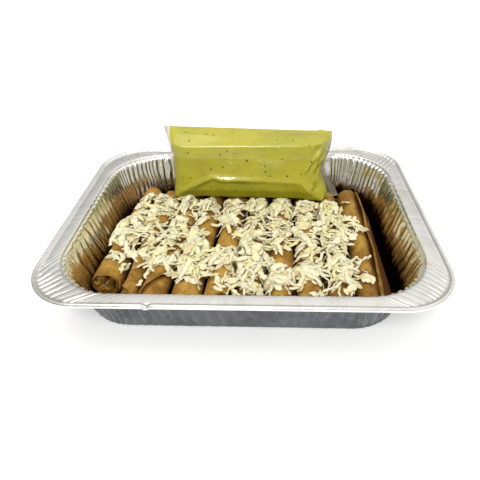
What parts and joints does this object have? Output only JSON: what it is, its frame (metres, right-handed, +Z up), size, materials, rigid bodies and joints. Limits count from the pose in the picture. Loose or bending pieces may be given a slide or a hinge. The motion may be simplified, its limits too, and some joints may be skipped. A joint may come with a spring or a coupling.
{
  "type": "enchiladas in a foil tray",
  "caption": "Rolled corn tortillas with filling, side by side in a fluted foil tray, topped with shredded white cheese, with a sealed clear pouch of green sauce at the back.",
  "frame": {"origin": "centre of the tray, on the plane that it stands on", "axes": "+X to the right along the tray's long side, +Y from the tray's front to the pouch at its back, +Z up"},
  "size_m": [0.324, 0.264, 0.0959],
  "materials": {
    "foil": "bright drawn foil",
    "tortilla": "soft baked corn dough, slightly oily",
    "filling": "moist and lumpy",
    "cheese": "soft white cheese shreds",
    "sauce_pouch": "clear film over green sauce"
  },
  "bodies": {
    "root": {"tray": "foil", "tortilla_01": "tortilla", "tortilla_02": "tortilla", "tortilla_03": "tortilla", "tortilla_04": "tortilla", "tortilla_05": "tortilla", "tortilla_06": "tortilla", "tortilla_07": "tortilla", "tortilla_08": "tortilla", "tortilla_09": "tortilla", "tortilla_10": "tortilla", "filling_01": "filling", "filling_02": "filling", "filling_03": "filling", "filling_04": "filling", "filling_05": "filling", "filling_06": "filling", "filling_07": "filling", "filling_08": "filling", "filling_09": "filling", "filling_10": "filling", "shredded_cheese": "cheese", "sauce_pouch": "sauce_pouch"}
  },
  "joints": []
}
